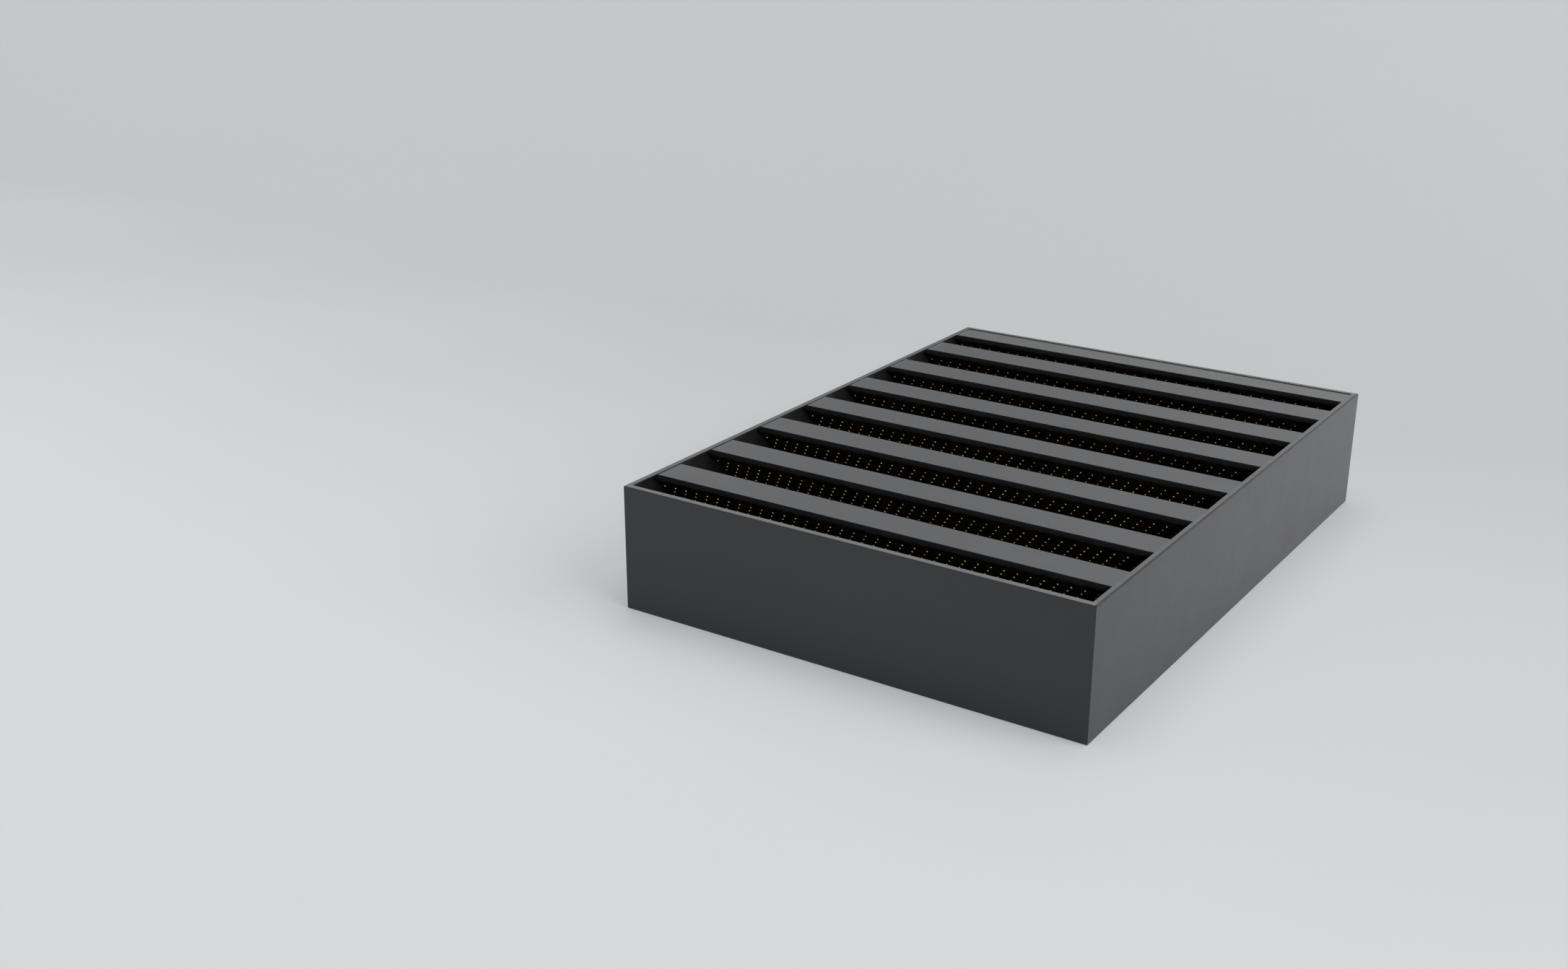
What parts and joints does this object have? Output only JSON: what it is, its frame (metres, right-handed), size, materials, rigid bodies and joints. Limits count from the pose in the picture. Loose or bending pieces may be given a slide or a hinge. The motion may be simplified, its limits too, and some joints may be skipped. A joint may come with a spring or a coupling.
{
  "type": "acoustic louvre panel",
  "caption": "Deep rectangular louvre casing with slanted, wool-filled blades that have flat weather faces and perforated dark undersides.",
  "frame": {"origin": "middle of the rear face, in the plane of the rear flanges", "axes": "+X along the blades, +Y from the sill to the head as installed, +Z out of the weather face"},
  "size_m": [1.15, 1.6, 0.3],
  "materials": {
    "casing_paint": "powder-coated steel, satin anthracite",
    "blade_paint": "powder-coated steel, satin anthracite",
    "liner_black": "perforated steel, matt black",
    "wool_pale": "mineral wool, pale",
    "wool_gold": "mineral wool, golden"
  },
  "bodies": {
    "root": {"casing_sill": "casing_paint", "casing_head": "casing_paint", "casing_jamb_left": "casing_paint", "casing_jamb_right": "casing_paint", "sill_skin": "blade_paint", "sill_wool_near": "wool_gold", "sill_wool_far": "wool_gold", "blade_1_skin": "blade_paint", "blade_1_liner": "liner_black", "blade_1_wool_inner": "wool_pale", "blade_1_wool_outer": "wool_gold", "blade_1_wool_leg": "wool_gold", "blade_2_skin": "blade_paint", "blade_2_liner": "liner_black", "blade_2_wool_inner": "wool_pale", "blade_2_wool_outer": "wool_gold", "blade_2_wool_leg": "wool_gold", "blade_3_skin": "blade_paint", "blade_3_liner": "liner_black", "blade_3_wool_inner": "wool_pale", "blade_3_wool_outer": "wool_gold", "blade_3_wool_leg": "wool_gold", "blade_4_skin": "blade_paint", "blade_4_liner": "liner_black", "blade_4_wool_inner": "wool_pale", "blade_4_wool_outer": "wool_gold", "blade_4_wool_leg": "wool_gold", "blade_5_skin": "blade_paint", "blade_5_liner": "liner_black", "blade_5_wool_inner": "wool_pale", "blade_5_wool_outer": "wool_gold", "blade_5_wool_leg": "wool_gold", "blade_6_skin": "blade_paint", "blade_6_liner": "liner_black", "blade_6_wool_inner": "wool_pale", "blade_6_wool_outer": "wool_gold", "blade_6_wool_leg": "wool_gold", "blade_7_skin": "blade_paint", "blade_7_liner": "liner_black", "blade_7_wool_inner": "wool_pale", "blade_7_wool_outer": "wool_gold", "blade_7_wool_leg": "wool_gold", "head_cover": "blade_paint", "head_liner": "liner_black", "head_wool": "wool_gold"}
  },
  "joints": []
}
